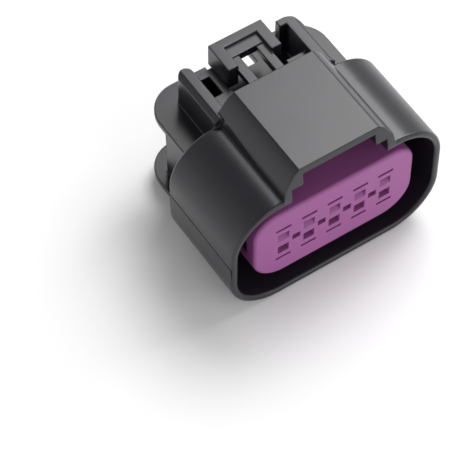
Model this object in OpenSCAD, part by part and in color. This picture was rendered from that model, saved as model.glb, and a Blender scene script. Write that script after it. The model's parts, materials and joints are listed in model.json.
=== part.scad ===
// Sealed ten-way wire-to-wire connector, socket half.
// An oval shroud surrounds a tower of ten contact cavities in two rows.
// A secondary lock cap closes the tower, a rocker latch runs under a raised hood,
// and a ribbed seal stands round the foot of the tower.
// Frame: X runs along the rows, Y runs from the mating rim to the wire side, Z is up.
// The origin is the centre of the mating rim.

/* [Shroud] */
// width of the shroud, outside
shell_w = 35; // [32:0.5:42]
// height of the shroud, outside
shell_h = 21.4; // [20.4:0.2:26]
// corner radius of the shroud, outside
shell_r = 7.9; // [6:0.1:9]
// thickness of the shroud wall
shell_wall = 1.1; // [0.9:0.05:1.4]
// depth of the shroud from the rim to its back
shell_d = 16; // [15:0.5:20]
// thickness of the web that closes the back of the shroud
web_t = 2.6; // [2:0.1:3]
// bevel round the rim and round the back edge of the shroud
rim_bevel = 0.3; // [0.1:0.05:0.4]
// width of the witness groove along the mould's split
split_w = 0.3; // [0.2:0.05:0.5]
// depth of the witness groove along the mould's split
split_t = 0.12; // [0.05:0.01:0.2]
// height of the mould's split above the centre of the shroud
split_z = 0.9; // [-2:0.1:2]

/* [Hood] */
// height of the hood above the shroud
hood_rise = 4.7; // [4.4:0.1:6]
// width of the flat top of the hood
hood_top_w = 13; // [12.4:0.1:13.6]
// width across the hood where its upper bevel ends
hood_bevel_w = 14.8; // [14:0.1:16]
// drop of the hood's upper bevel
hood_bevel_t = 0.7; // [0.4:0.1:1]
// width across the hood where its shoulder ends
hood_shoulder_w = 17.6; // [17.4:0.1:18]
// drop from the hood's top to the end of its shoulder
hood_shoulder_t = 2.7; // [2.2:0.1:3]
// width across the foot of the hood
hood_foot_w = 18.4; // [18.2:0.1:19]
// thickness of the hood's roof
hood_roof = 1.2; // [1:0.05:1.4]
// clear width of the tunnel between the hood's cheeks
tunnel_w = 15.6; // [15:0.1:15.7]
// width of the narrower top of the tunnel, between the hood's shoulders
ceiling_w = 11.8; // [11:0.1:12.4]
// height of the narrower top of the tunnel
ceiling_h = 2; // [1.4:0.1:2.4]
// setback of the hood's roof from the rim, to which its front leans
hood_set = 0.7; // [0:0.1:1.5]
// reach of the hood behind the back of the shroud
hood_over = 0.5; // [0:0.1:2]

/* [Contact cavities] */
// distance between neighbouring columns
pitch_x = 4.25; // [4.15:0.05:4.6]
// distance between the two rows of cavities
row_pitch = 4.4; // [4.3:0.05:4.8]
// diameter of the bore that holds a cable seal
seal_bore_d = 3.5; // [3.3:0.05:3.6]
// radial lead-in at the mouth of a seal bore
lead_in = 0.25; // [0.1:0.05:0.3]
// side clearance of a contact in its cavity
contact_gap = 0.05; // [0.03:0.01:0.1]
// distance from the rim to the front of the tower
tower_set = 2.1; // [1.8:0.1:3]
// distance from the floor of a seal bore to the back of the shroud
seat_in = 0.9; // [0.7:0.05:1.2]

/* [Back of the housing] */
// length of the cavity block behind the shroud
block_len = 8.8; // [8:0.1:12]
// thickness of the block around the seal bores
block_wall = 1.05; // [0.8:0.05:1.2]
// corner radius of the block around the seal bores
block_r = 1.6; // [1:0.1:2.4]
// width across the two guard plates
plate_w = 28.2; // [26.5:0.1:31]
// thickness of a guard plate
plate_t = 1; // [0.8:0.1:1.4]
// reach of the upper guard plate past the cavity block
plate_over = 3.6; // [2.4:0.1:5]
// reach of the lower guard plate past the cavity block
plate_under = 4.2; // [2.4:0.1:5]
// radius of the guard plates' back corners
plate_r = 5; // [3:0.1:5.4]
// height of the upper guard plate above the centre of the shroud
plate_up = 6.2; // [6:0.1:8]
// depth of the lower guard plate under the centre of the shroud
plate_down = 9; // [7:0.1:10]
// width of the thumb notch in the upper guard plate
notch_w = 6.6; // [6:0.1:9]
// depth of the thumb notch from the plate's back edge
notch_d = 3.3; // [2.4:0.1:3.4]
// thickness of the ribs between the block and the plates
rib_t = 1; // [0.7:0.1:1.4]
// setback of the side ribs from the edges of the plates
rib_set = 1.8; // [1.4:0.1:2]

/* [Latch guards] */
// distance between the outer faces of the latch guards
guard_w = 20; // [18.6:0.1:20.4]
// thickness of a latch guard
guard_t = 2.25; // [1.6:0.05:2.4]
// height of a latch guard above the upper plate
guard_h = 6.1; // [5:0.1:7]
// reach of a latch guard past the back of the shroud
guard_len = 9.7; // [8:0.1:10.5]
// reach of the inward lip at the end of the right-hand guard
lip_w = 1.1; // [0.4:0.1:1.6]
// thickness of the inward lip at the end of the right-hand guard
lip_t = 1.2; // [0.8:0.1:1.6]
// width of the bevel on the top outer edge of a latch guard
guard_bevel_w = 0.7; // [0.3:0.1:1.4]
// drop of the bevel on the top outer edge of a latch guard
guard_bevel_t = 0.6; // [0.3:0.1:1.4]
// length of the shelf beside the latch behind the shroud
shelf_len = 3.9; // [3:0.1:4.6]
// height of that shelf above the shroud's top
shelf_up = 0.4; // [0.2:0.1:0.8]
// thickness of that shelf
shelf_t = 1; // [0.8:0.1:1.4]
// clear width between the two shelves
shelf_gap = 9; // [8.8:0.1:9.2]
// setback of the fence beside the thumb frame from the edge of the left-hand shelf
fence_set = 0.25; // [0.2:0.05:0.6]
// thickness of that fence
fence_t = 1.2; // [0.8:0.1:1.3]
// reach of that fence behind the shelf
fence_len = 4.6; // [3:0.1:5]

/* [Latch] */
// clear height between the latch's rails and the hood's roof
rail_gap = 0.9; // [0.9:0.05:1.2]
// depth of the latch's axis under the middle of its rails
pivot_drop = 0.5; // [0.3:0.05:0.7]
// distance of the latch's axis in front of the back web
pivot_fwd = 1.6; // [1.3:0.1:3]
// diameter of the latch's trunnions
trunnion_d = 1.4; // [1.2:0.05:1.6]
// radial clearance of a trunnion in its socket
trunnion_gap = 0.1; // [0.08:0.01:0.2]
// depth of a trunnion in the side of the hood
trunnion_in = 0.5; // [0.4:0.05:0.6]
// width across the two rails of the latch
rail_span = 5.8; // [5.6:0.1:6.6]
// width of one latch rail
rail_w = 1.5; // [1.2:0.1:1.7]
// thickness of the latch rails
rail_t = 1.2; // [1:0.1:1.4]
// distance from the rim to the latch's nose
nose_set = 3; // [2:0.1:4]
// length of the latch's nose bar
nose_len = 2; // [1.5:0.1:2.5]
// drop of the latch's catch under its rails
catch_t = 0.9; // [0.7:0.05:1]
// width across the thumb frame
thumb_w = 8.4; // [8:0.1:9]
// length of the thumb frame
thumb_len = 5.3; // [4.6:0.1:5.6]
// distance from the back of the shroud to the back of the thumb frame
thumb_back = 10; // [9.4:0.1:11]
// height of the thumb frame
thumb_h = 4; // [3.4:0.1:4.4]
// height of the thumb frame's top above the latch's rails
thumb_up = 0.7; // [0.5:0.05:1]
// thickness of the thumb frame's back bar
thumb_bar = 1.5; // [1.2:0.1:2]
// length of the lower step in the thumb frame
step_len = 1.8; // [1:0.1:2]
// drop of the lower step under the thumb frame's top
step_drop = 0.55; // [0.4:0.05:1]

/* [Secondary lock] */
// width of the secondary lock cap
cap_w = 26.6; // [25.8:0.1:28]
// height of the secondary lock cap
cap_h = 13.5; // [13.2:0.1:14.4]
// radius of the cap's upper corners
cap_r_up = 3.5; // [2.5:0.1:4.5]
// radius of the cap's lower corners
cap_r_down = 5; // [4:0.1:6]
// thickness of the cap's face
cap_face = 1.2; // [1:0.05:1.4]
// thickness of the cap's skirt
cap_wall = 0.75; // [0.6:0.05:0.9]
// depth of the cap from its face to the end of its skirt
cap_len = 6.2; // [5.6:0.1:7]
// clearance between the cap and the tower
cap_gap = 0.15; // [0.1:0.01:0.2]
// gap between the cap's face and the front of the tower
cap_seat = 0.1; // [0.05:0.01:0.2]
// bevel round the front of the cap
cap_bevel = 0.35; // [0.1:0.05:0.5]
// travel of the cap from locked to pre-locked
cap_travel = 2; // [1.5:0.1:2.2]
// width of a blade opening
blade_w = 1.8; // [1.6:0.05:2.2]
// height of a blade opening
blade_h = 1.1; // [0.9:0.05:1.2]
// distance between the two rows of blade openings
blade_rows = 3.2; // [3:0.05:3.4]
// height of the lead-in on the inner side of a blade opening
blade_lead_h = 0.5; // [0.2:0.05:0.55]
// depth of the lead-in on the inner side of a blade opening
blade_lead_d = 0.6; // [0.3:0.05:0.8]
// width of a service slot
slot_w = 2.5; // [2:0.1:2.8]
// height of a service slot
slot_h = 0.5; // [0.4:0.05:0.6]
// distance between the two rows of service slots
slot_rows = 6.5; // [6.2:0.1:6.8]
// width of a coding window between the columns
window_w = 1.3; // [1:0.05:1.5]
// height of a coding window between the columns
window_h = 1.1; // [0.8:0.05:1.2]
// thickness of a lock finger
finger_t = 0.6; // [0.5:0.05:0.8]
// length of a lock finger behind the cap's face
finger_len = 3.6; // [3:0.1:4.2]
// thickness of the housing between a cavity and a lock finger
finger_web = 0.6; // [0.5:0.05:0.7]
// room behind a lock finger in the housing
finger_room = 0.4; // [0.2:0.1:0.8]
// distance from the cap's face to a retaining bump on the tower
bump_set = 1; // [0.8:0.1:1.2]
// setback of a retaining bump's top inside the cap's skirt
bump_in = 0.1; // [0.05:0.01:0.2]
// length of a retaining bump on the tower
bump_len = 1; // [0.8:0.1:1.2]
// width of a retaining bump on the tower
bump_w = 2; // [1.5:0.1:3]

/* [Interface seal] */
// length of the interface seal along the tower
ring_len = 5.2; // [4:0.1:5.4]
// thickness of the interface seal between its ribs
ring_t = 1.5; // [1:0.1:1.8]
// height of the interface seal's ribs
ring_rib_h = 0.6; // [0.3:0.05:0.7]
// length of one rib of the interface seal
ring_rib_len = 0.9; // [0.6:0.05:1]

/* [Contacts] */
// width of a contact's box
box_w = 2.5; // [2.3:0.05:2.6]
// height of a contact's box
box_h = 2.4; // [2.2:0.05:2.5]
// length of a contact's box
box_len = 6; // [5:0.1:6.4]
// thickness of the contact's strip
strip_t = 0.25; // [0.2:0.01:0.3]
// diameter of the conductor crimp, outside
crimp_d = 2; // [1.8:0.05:2.2]
// length of the conductor crimp
crimp_len = 3; // [2.4:0.1:3.2]
// length of the neck between a contact's box and its conductor crimp
neck_len = 1.2; // [0.8:0.1:1.6]
// width of the neck and of the strip to the seal crimp
neck_w = 1; // [0.8:0.05:1.2]
// width of the spring tongue in a contact's box
tongue_w = 1.5; // [1.2:0.05:1.7]
// setback of the spring tongue from the front of its box
tongue_set = 0.5; // [0.3:0.05:0.8]
// length of the spring tongue
tongue_len = 4.7; // [3.6:0.1:4.7]
// height of the gap between the spring tongue and the floor of its box
blade_gap = 0.8; // [0.6:0.05:0.9]

/* [Cable seals] */
// diameter of the wire hole in a cable seal
wire_d = 1.6; // [1.3:0.05:1.8]
// diameter of a cable seal between its ribs
cable_seal_d = 2.9; // [2.6:0.05:3]
// diameter of the nose that the contact grips
nose_d = 2.4; // [2.2:0.05:2.5]
// length of the nose that the contact grips
seal_nose_len = 1.5; // [1.2:0.05:1.6]
// distance from the back of the shroud to the ribs of a cable seal
seal_set = 1.4; // [1.3:0.05:1.8]
// length of the ribbed part of a cable seal
cable_seal_len = 6.6; // [5.6:0.1:7]
// length of one rib of a cable seal
cable_rib_len = 0.9; // [0.7:0.05:1]

/* [Hidden] */
$fn = 48;
// overlap that joins shapes of one moulding
lap = 0.4;
// reach of a cut past the face that it opens
past = 2;
// end clearance between pieces that nearly touch
end_gap = 0.1;
// depth of a strip's root in the piece that it grows from
root = 0.1;
columns = 5;
column_x = [for (i = [0:columns - 1]) (i - (columns - 1) / 2) * pitch_x];
gap_x = [for (i = [0:columns - 2]) (i - (columns - 2) / 2) * pitch_x];
row_z = row_pitch / 2;
span_x = (columns - 1) * pitch_x;
// heights above the centre of the shroud
shell_top = shell_h / 2;
shell_in_top = shell_top - shell_wall;
hood_top = shell_top + hood_rise;
hood_in_top = hood_top - hood_roof;
rail_top = hood_in_top - rail_gap;
rail_z = rail_top - rail_t / 2;
pivot_z = rail_z - pivot_drop;
guard_top = plate_up + guard_h;
shelf_top = shell_top + shelf_up;
// places along Y
web_y = shell_d - web_t;
block_y = shell_d + block_len;
plate_y = block_y + plate_over;
under_y = block_y + plate_under;
hood_back = shell_d + hood_over;
guard_y = shell_d + guard_len;
pivot_y = web_y - pivot_fwd;
socket_span = tunnel_w + 2 * (trunnion_in + end_gap);
thumb_y = shell_d + thumb_back;
cap_y = tower_set - cap_face - cap_seat;
contact_y = tower_set + contact_gap;
seat_y = shell_d - seat_in;
seal_y = shell_d + seal_set;
// sections that follow each other
cap_in_w = cap_w - 2 * cap_wall;
cap_in_h = cap_h - 2 * cap_wall;
tower_w = cap_in_w - 2 * cap_gap;
tower_h = cap_in_h - 2 * cap_gap;
tower_r_up = cap_r_up - cap_wall - cap_gap;
tower_r_down = cap_r_down - cap_wall - cap_gap;
box_z0 = row_z - box_h / 2;
box_z1 = row_z + box_h / 2;
finger_z = box_z1 + contact_gap + finger_web + cap_gap;
finger_mid = finger_z + finger_t / 2;
slot_half = finger_t / 2 + cap_gap;
finger_w = span_x + box_w;
block_w = span_x + seal_bore_d + 2 * block_wall;
block_h = row_pitch + seal_bore_d + 2 * block_wall;
bump_y = cap_y + cap_face + bump_set;
bump_h = cap_wall + cap_gap - bump_in;
catch_z = rail_top - rail_t - catch_t;

// pushes a section drawn in X and Z along Y, from y0 to y1
module along_y(y0, y1) {
    translate([0, y0, 0])
        rotate([-90, 0, 0])
            linear_extrude(height = y1 - y0)
                mirror([0, 1])
                    children();
}

// rounded rectangle with its own radius for the upper and the lower corners
module oval(w, h, r_up, r_down) {
    x_up = w / 2 - r_up;
    x_down = w / 2 - r_down;
    z_up = h / 2 - r_up;
    z_down = h / 2 - r_down;
    translate([-w / 2, -z_down])
        square([w, z_down + z_up]);
    translate([-x_up, 0])
        square([2 * x_up, h / 2]);
    translate([-x_down, -h / 2])
        square([2 * x_down, h / 2]);
    for (s = [-1, 1]) {
        translate([s * x_up, z_up])
            circle(r = r_up);
        translate([s * x_down, -z_down])
            circle(r = r_down);
    }
}

// slice of a rounded rectangle, from y0 to y0 + bevel, that grows by the bevel on all sides
module oval_bevel(w, h, r_up, r_down, bevel, y0) {
    x_up = w / 2 - r_up;
    x_down = w / 2 - r_down;
    z_up = h / 2 - r_up;
    z_down = h / 2 - r_down;
    y1 = y0 + bevel;
    translate([0, 0, -z_down])
        linear_extrude(height = z_up + z_down)
            polygon([[bevel - w / 2, y0], [w / 2 - bevel, y0], [w / 2, y1], [-w / 2, y1]]);
    for (s = [-1, 1]) {
        x = s > 0 ? x_up : x_down;
        z = s > 0 ? z_up : -z_down;
        r = s > 0 ? r_up : r_down;
        translate([-x, 0, 0])
            rotate([90, 0, 90])
                linear_extrude(height = 2 * x)
                    polygon([[y0, 0], [y0, s * (h / 2 - bevel)], [y1, s * h / 2], [y1, 0]]);
        for (side = [-1, 1])
            translate([side * x, y0, z])
                rotate([-90, 0, 0])
                    cylinder(r1 = r - bevel, r2 = r, h = bevel);
    }
}

// outside of the shroud with a bevel at the rim and at the back
module shroud() {
    along_y(rim_bevel, shell_d - rim_bevel)
        shell_section();
    oval_bevel(shell_w, shell_h, shell_r, shell_r, rim_bevel, 0);
    translate([0, shell_d, 0])
        mirror([0, 1, 0])
            oval_bevel(shell_w, shell_h, shell_r, shell_r, rim_bevel, 0);
}

// room inside the shroud, widened at the rim
module shroud_room() {
    inset = shell_wall - rim_bevel;
    mouth_r = shell_r - inset;
    along_y(-past, web_y)
        shell_section(shell_wall);
    translate([0, rim_bevel, 0])
        mirror([0, 1, 0])
            oval_bevel(shell_w - 2 * inset, shell_h - 2 * inset, mouth_r, mouth_r, rim_bevel, 0);
}

// outside of the shroud, or its inside when drawn in by the wall
module shell_section(inset = 0) {
    oval(shell_w - 2 * inset, shell_h - 2 * inset, shell_r - inset, shell_r - inset);
}

// tower of the housing, grown by a distance for what goes round it
module tower_section(grow = 0) {
    oval(tower_w + 2 * grow, tower_h + 2 * grow, tower_r_up + grow, tower_r_down + grow);
}

// hood over the latch: flat roof, bevel, shoulder and foot on each side
module hood_section() {
    z0 = shell_top - shell_wall / 2;
    polygon([
        [-hood_foot_w / 2, z0],
        [hood_foot_w / 2, z0],
        [hood_foot_w / 2, shell_top],
        [hood_shoulder_w / 2, hood_top - hood_shoulder_t],
        [hood_bevel_w / 2, hood_top - hood_bevel_t],
        [hood_top_w / 2, hood_top],
        [-hood_top_w / 2, hood_top],
        [-hood_bevel_w / 2, hood_top - hood_bevel_t],
        [-hood_shoulder_w / 2, hood_top - hood_shoulder_t],
        [-hood_foot_w / 2, shell_top]
    ]);
}

// hood with a front that leans back from the rim to the roof
module hood() {
    cut_w = hood_foot_w + 2 * past;
    difference() {
        along_y(0, hood_back)
            hood_section();
        translate([-cut_w / 2, 0, 0])
            rotate([90, 0, 90])
                linear_extrude(height = cut_w)
                    polygon([
                        [-past, shell_top],
                        [0, shell_top],
                        [hood_set, hood_top],
                        [hood_set, hood_top + past],
                        [-past, hood_top + past]
                    ]);
    }
}

// tunnel under the hood: wide between the cheeks, narrower between the shoulders
module tunnel_section() {
    floor_z = tower_h / 2 + cap_gap;
    translate([-tunnel_w / 2, floor_z])
        square([tunnel_w, hood_in_top - ceiling_h - floor_z]);
    translate([-ceiling_w / 2, floor_z])
        square([ceiling_w, hood_in_top - floor_z]);
}

// way for the latch's rails through the back of the hood
module rail_way_section() {
    translate([-shelf_gap / 2, shell_in_top])
        square([shelf_gap, hood_in_top - shell_in_top]);
}

// guard plate seen from above, with rounded back corners
module plate_plan(end_y) {
    y0 = shell_d - lap;
    x1 = plate_w / 2 - plate_r;
    translate([-plate_w / 2, y0])
        square([plate_w, end_y - plate_r - y0]);
    translate([-x1, y0])
        square([2 * x1, end_y - y0]);
    for (s = [-1, 1])
        translate([s * x1, end_y - plate_r])
            circle(r = plate_r);
}

// upper and lower guard plates with the ribs that carry them
module plates() {
    translate([0, 0, plate_up - plate_t])
        linear_extrude(height = plate_t)
            difference() {
                plate_plan(plate_y);
                translate([-notch_w / 2, plate_y - notch_d])
                    square([notch_w, notch_d + past]);
            }
    translate([0, 0, -plate_down])
        linear_extrude(height = plate_t)
            plate_plan(under_y);
    rib_x = [-1.5 * pitch_x, 1.5 * pitch_x];
    edge_x = plate_w / 2 - rib_set - rib_t / 2;
    for (x = concat([-edge_x, edge_x], rib_x))
        translate([x - rib_t / 2, shell_d - lap, -plate_down + plate_t / 2])
            cube([rib_t, block_len + lap, plate_down + plate_up - plate_t]);
}

// upright guard beside the latch, with a rounded end and a bevel along its top
module guard(s) {
    x1 = guard_w / 2;
    x0 = x1 - guard_t;
    z0 = plate_up - plate_t / 2;
    y0 = shell_d - lap;
    r = s > 0 ? guard_t : guard_t / 2;
    difference() {
        translate([0, 0, z0])
            linear_extrude(height = guard_top - z0) {
                translate([s > 0 ? x0 : -x1, y0])
                    square([guard_t, guard_y - r - y0]);
                translate([s * (x1 - r), guard_y - r])
                    intersection() {
                        circle(r = r);
                        translate([s > 0 ? x0 - x1 + r : -r, -r])
                            square([guard_t, 2 * r]);
                    }
            }
        along_y(y0 - past, guard_y + past)
            polygon([
                [s * (x1 - guard_bevel_w), guard_top],
                [s * x1, guard_top - guard_bevel_t],
                [s * (x1 + past), guard_top - guard_bevel_t],
                [s * (x1 + past), guard_top + past],
                [s * (x1 - guard_bevel_w), guard_top + past]
            ]);
    }
    translate([s > 0 ? shelf_gap / 2 : -x0 - lap, y0, shelf_top - shelf_t])
        cube([x0 + lap - shelf_gap / 2, shelf_len + lap, shelf_t]);
}

// upright fence that runs back from the left-hand shelf, then turns out to the guard
module fence() {
    x0 = shelf_gap / 2 + fence_set;
    x1 = guard_w / 2 - guard_t;
    y0 = shell_d + shelf_len;
    z0 = plate_up - plate_t / 2;
    translate([-x0 - fence_t, y0 - lap, z0])
        cube([fence_t, fence_len + lap, shelf_top - z0]);
    translate([-x1 - lap, y0 + fence_len - fence_t, z0])
        cube([x1 + lap - x0, fence_t, shelf_top - z0]);
}

// inward lip at the end of the right-hand guard
module guard_lip() {
    x0 = guard_w / 2 - guard_t;
    z0 = plate_up - plate_t / 2;
    translate([x0 - lip_w, guard_y - lip_t, z0])
        cube([lip_w + lap, lip_t, guard_top - z0]);
}

// one contact cavity: a square channel in front, a round seal bore behind
module cavity(x, s) {
    z = s * row_z;
    w = box_w + 2 * contact_gap;
    h = box_h + 2 * contact_gap;
    translate([x - w / 2, tower_set - past, z - h / 2])
        cube([w, seat_y - tower_set + past + lap, h]);
    translate([x, seat_y, z])
        rotate([-90, 0, 0])
            cylinder(d = seal_bore_d, h = block_y - seat_y + past);
    translate([x, block_y - lead_in, z])
        rotate([-90, 0, 0])
            cylinder(d1 = seal_bore_d, d2 = seal_bore_d + 2 * lead_in, h = lead_in);
}

module housing() {
    color("#37363a")
        difference() {
            union() {
                difference() {
                    shroud();
                    shroud_room();
                }
                along_y(tower_set, web_y + lap)
                    tower_section();
                hood();
                along_y(shell_d - lap, block_y)
                    oval(block_w, block_h, block_r, block_r);
                plates();
                guard_lip();
                fence();
                for (s = [-1, 1]) {
                    guard(s);
                    translate([s * tower_w / 2 - bump_h, bump_y, -bump_w / 2])
                        cube([2 * bump_h, bump_len, bump_w]);
                }
            }
            along_y(-past, web_y)
                tunnel_section();
            along_y(web_y - lap, hood_back + past)
                rail_way_section();
            for (x = column_x, s = [-1, 1])
                cavity(x, s);
            for (s = [-1, 1])
                translate([-finger_w / 2 - cap_gap, tower_set - past, s * finger_mid - slot_half])
                    cube([finger_w + 2 * cap_gap, past + finger_len + finger_room, 2 * slot_half]);
            translate([0, pivot_y, pivot_z])
                rotate([0, 90, 0])
                    cylinder(d = trunnion_d + 2 * trunnion_gap, h = socket_span, center = true);
            for (s = [-1, 1])
                translate([s * shell_w / 2 - split_t, -past, split_z - split_w / 2])
                    cube([2 * split_t, shell_d + 2 * past, split_w]);
        }
}

module latch() {
    z0 = rail_top - rail_t;
    front_y = thumb_y - thumb_len;
    thumb_z = rail_top + thumb_up;
    color("#343337")
        union() {
            for (s = [-1, 1]) {
                x = s * (rail_span - rail_w) / 2;
                translate([x - rail_w / 2, nose_set, z0])
                    cube([rail_w, thumb_y - thumb_bar / 2 - nose_set, rail_t]);
                x1 = s * (thumb_w + rail_span) / 4;
                side_w = (thumb_w - rail_span) / 2;
                translate([x1 - side_w / 2 - lap / 2, front_y, thumb_z - thumb_h])
                    cube([side_w + lap, thumb_len, thumb_h]);
            }
            translate([-rail_span / 2, nose_set, catch_z])
                cube([rail_span, nose_len, catch_t + rail_t]);
            translate([-rail_span / 2, pivot_y - trunnion_d / 2, pivot_z])
                cube([rail_span, trunnion_d, rail_top - pivot_z]);
            translate([0, pivot_y, pivot_z])
                rotate([0, 90, 0])
                    cylinder(d = trunnion_d, h = tunnel_w + 2 * trunnion_in, center = true);
            translate([-thumb_w / 2, thumb_y - thumb_bar, thumb_z - thumb_h])
                cube([thumb_w, thumb_bar, thumb_h]);
            translate([-thumb_w / 2 + lap, thumb_y - thumb_bar - step_len, z0])
                cube([thumb_w - 2 * lap, step_len + lap, thumb_z - step_drop - z0]);
        }
}

module secondary_lock() {
    color("#a56da0")
        difference() {
            union() {
                difference() {
                    union() {
                        oval_bevel(cap_w, cap_h, cap_r_up, cap_r_down, cap_bevel, cap_y);
                        along_y(cap_y + cap_bevel, cap_y + cap_len)
                            oval(cap_w, cap_h, cap_r_up, cap_r_down);
                    }
                    along_y(cap_y + cap_face, cap_y + cap_len + past)
                        oval(cap_in_w, cap_in_h, cap_r_up - cap_wall, cap_r_down - cap_wall);
                }
                for (s = [-1, 1])
                    translate([-finger_w / 2, cap_y + cap_face - lap, s * finger_mid - finger_t / 2])
                        cube([finger_w, finger_len + lap, finger_t]);
            }
            for (x = column_x, s = [-1, 1]) {
                translate([x - blade_w / 2, cap_y - past, s * blade_rows / 2 - blade_h / 2])
                    cube([blade_w, cap_face + 2 * past, blade_h]);
                translate([x - slot_w / 2, cap_y - past, s * slot_rows / 2 - slot_h / 2])
                    cube([slot_w, cap_face + past + cap_seat, slot_h]);
                blade_lead(x, s);
            }
            for (x = gap_x)
                translate([x - window_w / 2, cap_y - past, -window_h / 2])
                    cube([window_w, cap_face + 2 * past, window_h]);
            for (s = [-1, 1])
                translate([s * cap_w / 2 - past, bump_y - cap_gap, -bump_w / 2 - cap_gap])
                    cube([2 * past, bump_len + cap_travel + 2 * cap_gap, bump_w + 2 * cap_gap]);
        }
}

// sloping lead-in on the side of a blade opening that faces the other row
module blade_lead(x, s) {
    z1 = blade_rows / 2 - blade_h / 2;
    translate([x - blade_w / 2, cap_y, 0])
        rotate([90, 0, 90])
            linear_extrude(height = blade_w)
                polygon([
                    [-past, s * (z1 - blade_lead_h)],
                    [0, s * (z1 - blade_lead_h)],
                    [blade_lead_d, s * z1],
                    [blade_lead_d, s * (z1 + blade_h / 2)],
                    [-past, s * (z1 + blade_h / 2)]
                ]);
}

module interface_seal() {
    y0 = web_y - ring_len;
    step = (ring_len - ring_rib_len) / 2;
    color("#6d2b37")
        difference() {
            union() {
                along_y(y0, web_y)
                    tower_section(ring_t);
                for (i = [0:2])
                    along_y(y0 + i * step, y0 + i * step + ring_rib_len)
                        tower_section(ring_t + ring_rib_h);
            }
            along_y(y0 - past, web_y + past)
                tower_section();
        }
}

// female contact: box with a spring tongue, neck, conductor crimp and seal crimp
module contact(x, s) {
    floor_z = -box_h / 2;
    box_y = contact_y + box_len;
    crimp_y = box_y + neck_len;
    grip_y = seat_y + end_gap;
    nose_y = seal_y - seal_nose_len - end_gap;
    grip_d = nose_d + 2 * strip_t;
    step_z = root - grip_d / 2;
    color("#b9b6ae")
        translate([x, 0, s * row_z])
            mirror([0, 0, s > 0 ? 0 : 1])
                union() {
                    difference() {
                        translate([-box_w / 2, contact_y, floor_z])
                            cube([box_w, box_len, box_h]);
                        translate([strip_t - box_w / 2, contact_y - past, floor_z + strip_t])
                            cube([box_w - 2 * strip_t, box_len + 2 * past, box_h - 2 * strip_t]);
                    }
                    translate([tongue_w / 2, 0, 0])
                        rotate([90, 0, -90])
                            linear_extrude(height = tongue_w)
                                spring_side(floor_z);
                    translate([-neck_w / 2, box_y - lap, floor_z])
                        cube([neck_w, nose_y - box_y + lap, strip_t]);
                    translate([-neck_w / 2, grip_y, step_z])
                        cube([neck_w, nose_y - grip_y, floor_z + strip_t - step_z]);
                    translate([0, crimp_y, 0])
                        barrel(crimp_d, crimp_len);
                    translate([0, grip_y, 0])
                        barrel(grip_d, seal_y - end_gap - grip_y);
                }
}

// side view of the spring tongue inside a contact's box
module spring_side(floor_z) {
    y0 = contact_y + tongue_set;
    y1 = y0 + tongue_len;
    z1 = -floor_z - strip_t / 2;
    dip = floor_z + strip_t + blade_gap;
    polygon([
        [-y0, z1],
        [-y0, z1 - strip_t],
        [-(y0 + y1) / 2, dip],
        [-y1, z1 - 2 * strip_t],
        [-y1, z1 - strip_t],
        [-(y0 + y1) / 2, dip + strip_t],
        [-y0 - 2 * strip_t, z1]
    ]);
}

// crimp barrel, open along its top
module barrel(d, len) {
    difference() {
        rotate([-90, 0, 0])
            cylinder(d = d, h = len);
        translate([0, -past, 0])
            rotate([-90, 0, 0])
                cylinder(d = d - 2 * strip_t, h = len + 2 * past);
        translate([-d / 4, -past, 0])
            cube([d / 2, len + 2 * past, d]);
    }
}

// ribbed cable seal with its wire hole, nose first
module cable_seal(x, s) {
    step = (cable_seal_len - cable_rib_len) / 2;
    color("#6d2b37")
        translate([x, seal_y, s * row_z])
            rotate([-90, 0, 0])
                difference() {
                    union() {
                        translate([0, 0, -seal_nose_len])
                            cylinder(d = nose_d, h = seal_nose_len + lap);
                        cylinder(d = cable_seal_d, h = cable_seal_len);
                        for (i = [0:2])
                            translate([0, 0, i * step])
                                cylinder(d = seal_bore_d, h = cable_rib_len);
                    }
                    translate([0, 0, -seal_nose_len - past])
                        cylinder(d = wire_d, h = cable_seal_len + seal_nose_len + 2 * past);
                }
}

housing();
latch();
secondary_lock();
interface_seal();
contact(column_x[0], 1);  // contact_1
contact(column_x[1], 1);  // contact_2
contact(column_x[2], 1);  // contact_3
contact(column_x[3], 1);  // contact_4
contact(column_x[4], 1);  // contact_5
contact(column_x[0], -1);  // contact_6
contact(column_x[1], -1);  // contact_7
contact(column_x[2], -1);  // contact_8
contact(column_x[3], -1);  // contact_9
contact(column_x[4], -1);  // contact_10
cable_seal(column_x[0], 1);  // cable_seal_1
cable_seal(column_x[1], 1);  // cable_seal_2
cable_seal(column_x[2], 1);  // cable_seal_3
cable_seal(column_x[3], 1);  // cable_seal_4
cable_seal(column_x[4], 1);  // cable_seal_5
cable_seal(column_x[0], -1);  // cable_seal_6
cable_seal(column_x[1], -1);  // cable_seal_7
cable_seal(column_x[2], -1);  // cable_seal_8
cable_seal(column_x[3], -1);  // cable_seal_9
cable_seal(column_x[4], -1);  // cable_seal_10
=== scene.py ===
# %% [markdown]
# This lesson dresses a sealed wire connector in Blender.
# The connector is a small moulding: an oval shroud, a hood with a rocker latch, a purple lock cap,
# and contacts and rubber seals inside.
# Its solids come ready made and fixed in place, in metres.
# What is left for Blender is what a camera sees: soft edges, plastic, rubber, metal and light.
# The box round the solids is kept here, and the floor and the lamps are placed from it.
# The Standard view shows each colour as it is written, without the film look that is Blender's default.

# %% Load the frame
import json
import math

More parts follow.
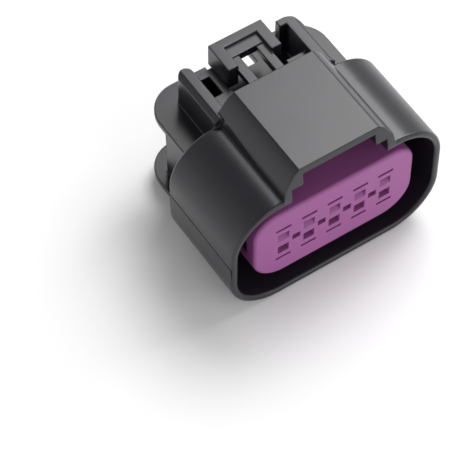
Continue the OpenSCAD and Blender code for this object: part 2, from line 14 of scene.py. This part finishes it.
import bmesh
import bpy
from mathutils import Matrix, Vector

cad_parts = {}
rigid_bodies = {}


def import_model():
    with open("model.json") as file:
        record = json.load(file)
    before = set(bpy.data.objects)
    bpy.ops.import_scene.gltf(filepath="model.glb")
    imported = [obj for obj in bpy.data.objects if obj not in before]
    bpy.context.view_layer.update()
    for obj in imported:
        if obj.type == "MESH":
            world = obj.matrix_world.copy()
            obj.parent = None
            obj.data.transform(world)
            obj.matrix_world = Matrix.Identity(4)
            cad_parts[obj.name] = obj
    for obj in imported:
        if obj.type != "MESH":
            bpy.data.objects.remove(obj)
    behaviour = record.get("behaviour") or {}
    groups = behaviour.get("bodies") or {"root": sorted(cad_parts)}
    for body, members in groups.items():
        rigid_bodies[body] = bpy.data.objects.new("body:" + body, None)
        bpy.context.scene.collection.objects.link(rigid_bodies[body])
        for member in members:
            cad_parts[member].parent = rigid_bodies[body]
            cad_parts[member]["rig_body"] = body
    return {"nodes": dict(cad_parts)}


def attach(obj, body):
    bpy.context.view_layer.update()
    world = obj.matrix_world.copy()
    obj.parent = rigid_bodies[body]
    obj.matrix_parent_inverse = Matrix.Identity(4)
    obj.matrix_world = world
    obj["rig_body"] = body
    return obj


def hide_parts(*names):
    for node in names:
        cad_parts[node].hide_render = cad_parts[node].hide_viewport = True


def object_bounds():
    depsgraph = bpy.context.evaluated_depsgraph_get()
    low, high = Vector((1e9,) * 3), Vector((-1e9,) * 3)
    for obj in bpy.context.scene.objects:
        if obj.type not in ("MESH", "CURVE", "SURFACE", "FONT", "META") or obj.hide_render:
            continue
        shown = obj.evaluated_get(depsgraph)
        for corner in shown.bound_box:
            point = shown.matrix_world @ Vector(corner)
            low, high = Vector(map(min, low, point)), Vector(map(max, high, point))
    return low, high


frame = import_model()
cad_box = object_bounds()
MM = 0.001
scene = bpy.context.scene
scene.view_settings.view_transform = "Standard"

# %% [markdown]
# The camera stands where the photographer stood: to the left of the mating face, and looking well down.
# A camera's own Z axis points back at the viewer, so a tilt about X and a turn about Z are enough to aim it.
# The long lens keeps the two ends of the part nearly the same size, as in a catalogue picture.

# %% Place the camera
CAMERA_AZIMUTH = -33.42
CAMERA_ELEVATION = 55.06
CAMERA_PLACE_MM = (-120.76, -154.71, 278.46)
LENS_MM = 197.15
SENSOR_MM = 36.0
NEAREST_MM = 10.0

camera_data = bpy.data.cameras.new("camera")
camera_data.lens = LENS_MM
camera_data.sensor_width = SENSOR_MM
camera_data.clip_start = NEAREST_MM * MM
camera = bpy.data.objects.new("camera", camera_data)
camera.location = Vector(CAMERA_PLACE_MM) * MM
camera.rotation_euler = (math.radians(90 - CAMERA_ELEVATION), 0, math.radians(CAMERA_AZIMUTH))
scene.collection.objects.link(camera)
scene.camera = camera
print("camera distance in mm:", round(Vector(CAMERA_PLACE_MM).length, 1))

# %% [markdown]
# Every material below is a small tree of shader nodes.
# One function adds a node, sets its own settings and joins its inputs, so that each tree reads as a list.
# Colours are written as hex values, as a colour chart gives them, and turned into the linear numbers
# that a renderer adds up.
# A noise pattern has a scale in repeats per metre, so it is worked out from a size in millimetres.

# %% Helpers for materials
def linear(hex_code):
    """Linear RGBA of an sRGB hex colour."""
    values = [int(hex_code[i:i + 2], 16) / 255 for i in (1, 3, 5)]
    return [v / 12.92 if v <= 0.04045 else ((v + 0.055) / 1.055) ** 2.4 for v in values] + [1.0]


def per_metre(size_mm):
    """Scale of a pattern whose features have this size."""
    return 1 / (size_mm * MM)


def add_node(tree, kind, inputs=None, **settings):
    """Adds a node. Settings are its own, inputs are values or outputs of other nodes."""
    node = tree.nodes.new(kind)
    for name, value in settings.items():
        setattr(node, name, value)
    for name, value in (inputs or {}).items():
        if isinstance(value, bpy.types.NodeSocket):
            tree.links.new(value, node.inputs[name])
        else:
            node.inputs[name].default_value = value
    return node


def new_material(name):
    """An empty material and its node tree."""
    material = bpy.data.materials.new(name)
    material.use_nodes = True
    material.node_tree.nodes.clear()
    return material, material.node_tree


print("black chip in linear light:", [round(v, 4) for v in linear("#1d1b20")])

# %% [markdown]
# The housing and the latch are PBT, the usual plastic of sealed connectors, coloured black in the mass.
# The mould's spark-eroded steel leaves a fine matte grain, and the melt leaves faint broad flow marks.
# A picture of plastic could be wrapped round the part, but noise in space needs no unwrapping and no file.
# One broad noise moves both the tone and the gloss, as flow marks do, and one fine noise is the grain.
# The gloss stays in a narrow range, because the denoiser takes a roughness below 0.274 for a mirror,
# and a pattern that crosses that value leaves faint marks in the picture.

# %% Moulded PBT
FLOW_MM = 7.0
FLOW_DETAIL = 3.0
GRAIN_MM = 0.22         # real spark grain is near 0.05 mm; drawn coarser so that it shows
GRAIN_DETAIL = 2.0
GRAIN_DEEP_MM = 0.004
PBT_IOR = 1.5
NOISE_LOW = 0.3         # most of a noise lies between these two
NOISE_HIGH = 0.7
BLACK_TONES = ("#1b191f", "#1f1d24")
BLACK_GLOSS = (0.28, 0.31)
BLACK_GRAIN = 0.35


def moulded_pbt(name, tones, gloss_range, grain_strength):
    """Moulded PBT between two tones and two roughnesses, with flow marks and grain."""
    material, tree = new_material(name)
    place = add_node(tree, "ShaderNodeTexCoord").outputs["Object"]
    flow = add_node(tree, "ShaderNodeTexNoise", {
        "Vector": place, "Scale": per_metre(FLOW_MM), "Detail": FLOW_DETAIL}).outputs["Fac"]
    grain = add_node(tree, "ShaderNodeTexNoise", {
        "Vector": place, "Scale": per_metre(GRAIN_MM), "Detail": GRAIN_DETAIL}).outputs["Fac"]
    tone = add_node(tree, "ShaderNodeMix", {
        "Factor": flow, "A": linear(tones[0]), "B": linear(tones[1])}, data_type="RGBA")
    gloss = add_node(tree, "ShaderNodeMapRange", {
        "Value": flow, "From Min": NOISE_LOW, "From Max": NOISE_HIGH,
        "To Min": gloss_range[0], "To Max": gloss_range[1]})
    bump = add_node(tree, "ShaderNodeBump", {
        "Height": grain, "Strength": grain_strength, "Distance": GRAIN_DEEP_MM * MM})
    shader = add_node(tree, "ShaderNodeBsdfPrincipled", {
        "Base Color": tone.outputs["Result"], "Roughness": gloss.outputs["Result"],
        "Normal": bump.outputs["Normal"], "IOR": PBT_IOR})
    add_node(tree, "ShaderNodeOutputMaterial", {"Surface": shader.outputs["BSDF"]})
    return material


# To the eye a dark satin: nearly black where it sees shade, and grey where it mirrors a lamp.
black_pbt = moulded_pbt("black_pbt_moulded", BLACK_TONES, BLACK_GLOSS, BLACK_GRAIN)
print("made", black_pbt.name)

# %% [markdown]
# The lock cap is the same plastic coloured purple, so that a fitter sees at once whether it is home.
# The same function makes it, because only the pigment differs.
# Pigment breaks the skin up a little, so the gloss is duller and the grain shows less.

# %% Purple PBT
PURPLE_TONES = ("#914c89", "#995590")
PURPLE_GLOSS = (0.5, 0.58)
PURPLE_GRAIN = 0.3

# To the eye flat and slightly chalky, with the colour kept even in the shade of the hood.
purple_pbt = moulded_pbt("purple_pbt_moulded", PURPLE_TONES, PURPLE_GLOSS, PURPLE_GRAIN)
print("made", purple_pbt.name)

# %% [markdown]
# The seals are maroon silicone rubber, moulded, and oiled so that they slide into place.
# Rubber that has been handled is never one even tone: a cloudy noise gives it a soft, slightly patchy skin.
# A little sheen lifts the rims, as fine dust does on real rubber.

# %% Silicone rubber
SKIN_MM = 0.8
SKIN_DETAIL = 4.0
SKIN_BUMP = 0.2
SILICONE_TONES = ("#5a1d2b", "#6f2a39")
SILICONE_GLOSS = (0.42, 0.58)
SILICONE_IOR = 1.41
SILICONE_SHEEN = 0.15


def silicone_rubber():
    """Maroon silicone with a soft, slightly uneven skin."""
    material, tree = new_material("maroon_silicone_moulded")
    place = add_node(tree, "ShaderNodeTexCoord").outputs["Object"]
    skin = add_node(tree, "ShaderNodeTexNoise", {
        "Vector": place, "Scale": per_metre(SKIN_MM), "Detail": SKIN_DETAIL}).outputs["Fac"]
    tone = add_node(tree, "ShaderNodeMix", {
        "Factor": skin, "A": linear(SILICONE_TONES[0]), "B": linear(SILICONE_TONES[1])}, data_type="RGBA")
    gloss = add_node(tree, "ShaderNodeMapRange", {
        "Value": skin, "From Min": NOISE_LOW, "From Max": NOISE_HIGH,
        "To Min": SILICONE_GLOSS[0], "To Max": SILICONE_GLOSS[1]})
    bump = add_node(tree, "ShaderNodeBump", {
        "Height": skin, "Strength": SKIN_BUMP, "Distance": GRAIN_DEEP_MM * MM})
    shader = add_node(tree, "ShaderNodeBsdfPrincipled", {
        "Base Color": tone.outputs["Result"], "Roughness": gloss.outputs["Result"],
        "Normal": bump.outputs["Normal"], "IOR": SILICONE_IOR, "Sheen Weight": SILICONE_SHEEN})
    add_node(tree, "ShaderNodeOutputMaterial", {"Surface": shader.outputs["BSDF"]})
    return material


# To the eye a dull dark red with a faint oily shine.
silicone = silicone_rubber()
print("made", silicone.name)

# %% [markdown]
# The contacts are stamped from copper alloy strip that was tin plated after rolling.
# Tin is a pale grey metal, and rolling leaves fine streaks along the strip, here along Y.
# Brushed metal could be faked with anisotropy, but streaks that show are simpler and bake into a texture.
# A Mapping node shrinks the Y coordinate, and so stretches the noise along that direction.

# %% Tin plated strip
STREAK_MM = 0.12        # real rolling lines are near 0.02 mm; drawn coarser so that they show
STREAK_DETAIL = 2.0
STREAK_STRETCH = 0.04
TIN_TONES = ("#b4b1a9", "#cfccc4")
TIN_GLOSS = (0.28, 0.42)


def tin_plated_strip():
    """Tin plate with rolling streaks along Y."""
    material, tree = new_material("tin_plated_strip_rolled")
    place = add_node(tree, "ShaderNodeTexCoord").outputs["Object"]
    along = add_node(tree, "ShaderNodeMapping", {"Vector": place, "Scale": (1.0, STREAK_STRETCH, 1.0)})
    streak = add_node(tree, "ShaderNodeTexNoise", {
        "Vector": along.outputs["Vector"], "Scale": per_metre(STREAK_MM),
        "Detail": STREAK_DETAIL}).outputs["Fac"]
    tone = add_node(tree, "ShaderNodeMix", {
        "Factor": streak, "A": linear(TIN_TONES[0]), "B": linear(TIN_TONES[1])}, data_type="RGBA")
    gloss = add_node(tree, "ShaderNodeMapRange", {
        "Value": streak, "From Min": NOISE_LOW, "From Max": NOISE_HIGH,
        "To Min": TIN_GLOSS[0], "To Max": TIN_GLOSS[1]})
    shader = add_node(tree, "ShaderNodeBsdfPrincipled", {
        "Base Color": tone.outputs["Result"], "Roughness": gloss.outputs["Result"], "Metallic": 1.0})
    add_node(tree, "ShaderNodeOutputMaterial", {"Surface": shader.outputs["BSDF"]})
    return material


# To the eye a pale satin metal whose shine breaks into lines.
tin_plate = tin_plated_strip()
print("made", tin_plate.name)

# %% [markdown]
# No moulding has knife edges: the mould's own corners are rounded, and light runs along them as thin lines.
# A Bevel modifier could round every edge of an object by one width, but here the width differs by place.
# So a test picks the edges, and a bmesh bevel rounds those that turn sharply.

# %% Round some edges
SHARP_DEGREES = 24.0
ROUND_SEGMENTS = 3


def round_edges(shape, radius_mm, picks):
    """Rounds the sharp edges that the test picks, and returns their number."""
    sharp = [
        edge for edge in shape.edges
        if len(edge.link_faces) == 2
        and edge.calc_face_angle(0) > math.radians(SHARP_DEGREES)
        and picks((edge.verts[0].co + edge.verts[1].co) / 2 / MM)
    ]
    bmesh.ops.bevel(
        shape, geom=sharp, offset=radius_mm * MM, offset_type="OFFSET", segments=ROUND_SEGMENTS,
        profile=0.5, affect="EDGES", clamp_overlap=False, loop_slide=True, material=-1)
    return len(sharp)


print("sharp edges turn by more than", SHARP_DEGREES, "degrees")

# %% [markdown]
# Each moulded piece is shown by a copy of its solid, because the solid itself has to stay as it is.
# The copy's loose triangles are merged and its flat faces joined, so that a bevel meets whole faces.
# Slivers that a bevel leaves in tight corners are dissolved afterwards.
# Faces that meet gently are shaded as one, and a Weighted Normal modifier keeps large faces flat to the eye.
# The copy rides on the same moving body as its solid, and stands for it.

# %% A copy with rounded edges
MERGE_MM = 0.004
SLIVER_MM = 0.001
FLAT_DEGREES = 0.6
SMOOTH_DEGREES = 40.0


def rounded_copy(node, material, slot, *rounds, prepare=None):
    """A piece that stands for a solid, rounded by pairs of a radius and a test."""
    shape = bmesh.new()
    shape.from_mesh(frame["nodes"][node].data)
    bmesh.ops.remove_doubles(shape, verts=shape.verts, dist=MERGE_MM * MM)
    bmesh.ops.dissolve_limit(
        shape, angle_limit=math.radians(FLAT_DEGREES), verts=shape.verts, edges=shape.edges)
    if prepare:
        prepare(shape)
    counts = [round_edges(shape, radius_mm, picks) for radius_mm, picks in rounds]
    bmesh.ops.dissolve_degenerate(shape, edges=shape.edges, dist=SLIVER_MM * MM)
    mesh = bpy.data.meshes.new(node + "_piece")
    shape.to_mesh(mesh)
    shape.free()
    mesh.shade_smooth()
    mesh.set_sharp_from_angle(angle=math.radians(SMOOTH_DEGREES))
    mesh.materials.append(material)
    piece = bpy.data.objects.new(node + "_piece", mesh)
    scene.collection.objects.link(piece)
    even = piece.modifiers.new("even_shading", "WEIGHTED_NORMAL")
    even.keep_sharp = True
    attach(piece, frame["nodes"][node]["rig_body"])
    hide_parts(node)
    print(node, "edges rounded:", counts, "faces:", len(mesh.polygons))


print("solids to be shown by a copy:", sum(not name.startswith("contact") for name in frame["nodes"]))

# %% [markdown]
# The housing is one moulding: shroud, hood, block, plates and guards.
# Its fine mould split line stays sharp, and so do the cavities that nobody looks into.
# The right-hand wall runs flat from the split line to the rim, and smooth shading would smear the rim's light
# along it. Two cuts that move nothing part the wall beside the line, and keep each strip evenly shaded.

# %% Housing
MOULD_EDGE_MM = 0.16
BLOCK_HALF_MM = (12.2, 5.8)     # half width and half height of the room that holds the cavities
BLOCK_FRONT_MM = 2.4
SPLIT_SIDE_MM = 17.1
SPLIT_UP_MM = 0.9
SPLIT_HALF_MM = 0.4


def shows_on_housing(middle):
    """Picks edges outside the cavities and the split line."""
    across = abs(middle.x) < BLOCK_HALF_MM[0] and abs(middle.z) < BLOCK_HALF_MM[1]
    in_block = across and middle.y > BLOCK_FRONT_MM
    in_split = abs(middle.x) > SPLIT_SIDE_MM and abs(middle.z - SPLIT_UP_MM) < SPLIT_HALF_MM
    return not (in_block or in_split)


def cut_beside_split(shape):
    """Cuts the right-hand wall above and below the split line."""
    for height_mm in (SPLIT_UP_MM - SPLIT_HALF_MM, SPLIT_UP_MM + SPLIT_HALF_MM):
        wall = [face for face in shape.faces if face.calc_center_median().x > SPLIT_SIDE_MM * MM]
        edges = dict.fromkeys(edge for face in wall for edge in face.edges)
        corners = dict.fromkeys(corner for face in wall for corner in face.verts)
        bmesh.ops.bisect_plane(
            shape, geom=[*corners, *edges, *wall], plane_co=(0, 0, height_mm * MM), plane_no=(0, 0, 1))


rounded_copy(
    "housing", black_pbt, "housing_plastic", (MOULD_EDGE_MM, shows_on_housing), prepare=cut_beside_split)

# %% [markdown]
# The latch is a rocker lever that is moulded in the same plastic, with the same small corner radius.
# All of it can be seen through the hood's two ends, so every sharp edge is rounded.

# %% Latch
def everywhere(middle):
    """Picks every edge."""
    return True


rounded_copy("latch", black_pbt, "latch_plastic", (MOULD_EDGE_MM, everywhere))

# %% [markdown]
# The lock cap has a soft rim: light slides round it without a line.
# Its solid has a flat bevel there, so both edges of that bevel are rounded until they nearly meet.
# The small openings keep crisp edges, with hardly any rounding.

# %% Lock cap
RIM_ROUND_MM = 0.2
OPENING_ROUND_MM = 0.06
RIM_SIDE_MM = 10.9
RIM_UP_MM = 4.9


def on_cap_rim(middle):
    """Picks edges near the outline of the cap."""
    return abs(middle.x) > RIM_SIDE_MM or abs(middle.z) > RIM_UP_MM


def inside_cap_rim(middle):
    """Picks the edges of the openings."""
    return not on_cap_rim(middle)


rounded_copy(
    "secondary_lock", purple_pbt, "lock_plastic",
    (RIM_ROUND_MM, on_cap_rim), (OPENING_ROUND_MM, inside_cap_rim))

# %% [markdown]
# The ring seal lies at the foot of the tower, and a small seal closes the bore behind each contact.
# Rubber ribs are round all over, so these pieces get the largest radius that their ribs allow.

# %% Seals
RING_RIB_MM = 0.25
CABLE_RIB_MM = 0.12

rounded_copy("interface_seal", silicone, "seal_rubber", (RING_RIB_MM, everywhere))
for name in sorted(frame["nodes"]):
    if name.startswith("cable_seal"):
        rounded_copy(name, silicone, "seal_rubber", (CABLE_RIB_MM, everywhere))

# %% [markdown]
# The contacts are thin sheet, and stamped sheet really has crisp edges.
# So their solids are shown as they are, and only their material slot is filled.

# %% Contacts
contacts = [name for name in sorted(frame["nodes"]) if name.startswith("contact")]
for name in contacts:
    frame["nodes"][name].material_slots[0].material = tin_plate
print("contacts plated:", len(contacts))

# %% [markdown]
# The part lies on a wide sheet of white paper, at the height of its lowest point.
# In a studio the sheet curves up into a lit white wall, so that a low camera sees no horizon.
# A curved sheet could be modelled, but here the far paper simply fades to plain white.
# It does so only for the camera and for what the part mirrors: it still lights the part as paper does.
# Near the part it stays paper, and keeps the part's shadow.

# %% Floor
FLOOR_SIDE_MM = 3000.0

floor_shape = bmesh.new()
bmesh.ops.create_grid(floor_shape, x_segments=1, y_segments=1, size=FLOOR_SIDE_MM * MM / 2)
bmesh.ops.translate(floor_shape, verts=floor_shape.verts, vec=(0, 0, cad_box[0].z))
floor_mesh = bpy.data.meshes.new("floor")
floor_shape.to_mesh(floor_mesh)
floor_shape.free()
floor = bpy.data.objects.new("floor", floor_mesh)
scene.collection.objects.link(floor)
print("floor height in mm:", round(cad_box[0].z / MM, 2))

# %% [markdown]
# The fade is a factor that grows with the distance from the part.
# The Light Path node tells what kind of ray asks: one from the camera, a mirrored one, or one through glass.

# %% Paper that fades to white
PAPER_TONE = "#f8f8f8"
PLAIN_WHITE = "#ffffff"
FADE_START_MM = 60.0
FADE_END_MM = 200.0

# To the eye an even, shineless white that takes soft shadows.
paper, tree = new_material("white_paper_matte")
matte = add_node(tree, "ShaderNodeBsdfDiffuse", {"Color": linear(PAPER_TONE)})
white = add_node(tree, "ShaderNodeEmission", {"Color": linear(PLAIN_WHITE), "Strength": 1.0})
place = add_node(tree, "ShaderNodeTexCoord").outputs["Object"]
middle = (cad_box[0] + cad_box[1]) / 2
distance = add_node(tree, "ShaderNodeVectorMath", {
    0: place, 1: (middle.x, middle.y, cad_box[0].z)}, operation="DISTANCE").outputs["Value"]
far = add_node(tree, "ShaderNodeMapRange", {
    "Value": distance, "From Min": FADE_START_MM * MM, "From Max": FADE_END_MM * MM},
    interpolation_type="SMOOTHSTEP").outputs["Result"]
ray = add_node(tree, "ShaderNodeLightPath").outputs
direct_or_mirrored = add_node(tree, "ShaderNodeMath", {
    0: ray["Is Camera Ray"], 1: ray["Is Glossy Ray"]}, operation="ADD").outputs["Value"]
seen = add_node(tree, "ShaderNodeMath", {
    0: direct_or_mirrored, 1: ray["Is Transmission Ray"]}, operation="ADD", use_clamp=True).outputs["Value"]
fade = add_node(tree, "ShaderNodeMath", {0: far, 1: seen}, operation="MULTIPLY").outputs["Value"]
sheet = add_node(tree, "ShaderNodeMixShader", {
    0: fade, 1: matte.outputs["BSDF"], 2: white.outputs["Emission"]})
add_node(tree, "ShaderNodeOutputMaterial", {"Surface": sheet.outputs["Shader"]})
floor_mesh.materials.append(paper)
print("paper fades to white between", FADE_START_MM, "and", FADE_END_MM, "mm")

# %% [markdown]
# The studio round the part has white walls and a dim ceiling.
# Black satin plastic shows mostly what it mirrors, so the walls draw its sides, and the ceiling leaves its
# tops dark where no lamp shows in them.
# In a world shader, the Generated coordinate is the direction looked in, and its Z is the height of that.

# %% Studio walls
WALL_LEVEL = 1.0
CEILING_LEVEL = 0.15

world = bpy.data.worlds.new("studio")
scene.world = world
world.use_nodes = True
tree = world.node_tree
tree.nodes.clear()
way = add_node(tree, "ShaderNodeTexCoord").outputs["Generated"]
height = add_node(tree, "ShaderNodeSeparateXYZ", {"Vector": way}).outputs["Z"]
level = add_node(tree, "ShaderNodeMapRange", {
    "Value": height, "To Min": WALL_LEVEL, "To Max": CEILING_LEVEL}).outputs["Result"]
air = add_node(tree, "ShaderNodeBackground", {"Color": linear(PLAIN_WHITE), "Strength": level})
add_node(tree, "ShaderNodeOutputWorld", {"Surface": air.outputs["Background"]})
print("studio from", WALL_LEVEL, "at the walls to", CEILING_LEVEL, "at the ceiling")

# %% [markdown]
# Two softboxes stand behind the part and to its right, where its flat tops and its right side mirror them.
# A third, weaker one stands in front and lights the purple face.
# A softbox is given by its direction and by how bright its face is, because that is what plastic mirrors.
# An area lamp wants watts, which are that brightness times its area and pi.

# %% Softboxes
def softbox(name, azimuth, elevation, distance, width, height, radiance):
    """A lamp that faces the part. Angles are in degrees, lengths in metres."""
    turn = math.radians(azimuth)
    rise = math.radians(elevation)
    away = Vector((math.sin(turn) * math.cos(rise), -math.cos(turn) * math.cos(rise), math.sin(rise)))
    lamp_data = bpy.data.lights.new(name, "AREA")
    lamp_data.shape = "RECTANGLE"
    lamp_data.size = width
    lamp_data.size_y = height
    lamp_data.energy = radiance * math.pi * width * height
    lamp = bpy.data.objects.new(name, lamp_data)
    lamp.location = (cad_box[0] + cad_box[1]) / 2 + away * distance
    lamp.rotation_euler = away.to_track_quat("Z", "Y").to_euler()
    scene.collection.objects.link(lamp)
    print(name, "watts:", round(lamp_data.energy, 2))


softbox("back_softbox", azimuth=122.0, elevation=54.0, distance=0.6, width=0.34, height=0.34, radiance=6.8)
softbox("right_softbox", azimuth=95.0, elevation=42.0, distance=0.6, width=0.34, height=0.34, radiance=3.2)
softbox("front_softbox", azimuth=20.0, elevation=25.0, distance=0.8, width=0.7, height=0.6, radiance=1.3)
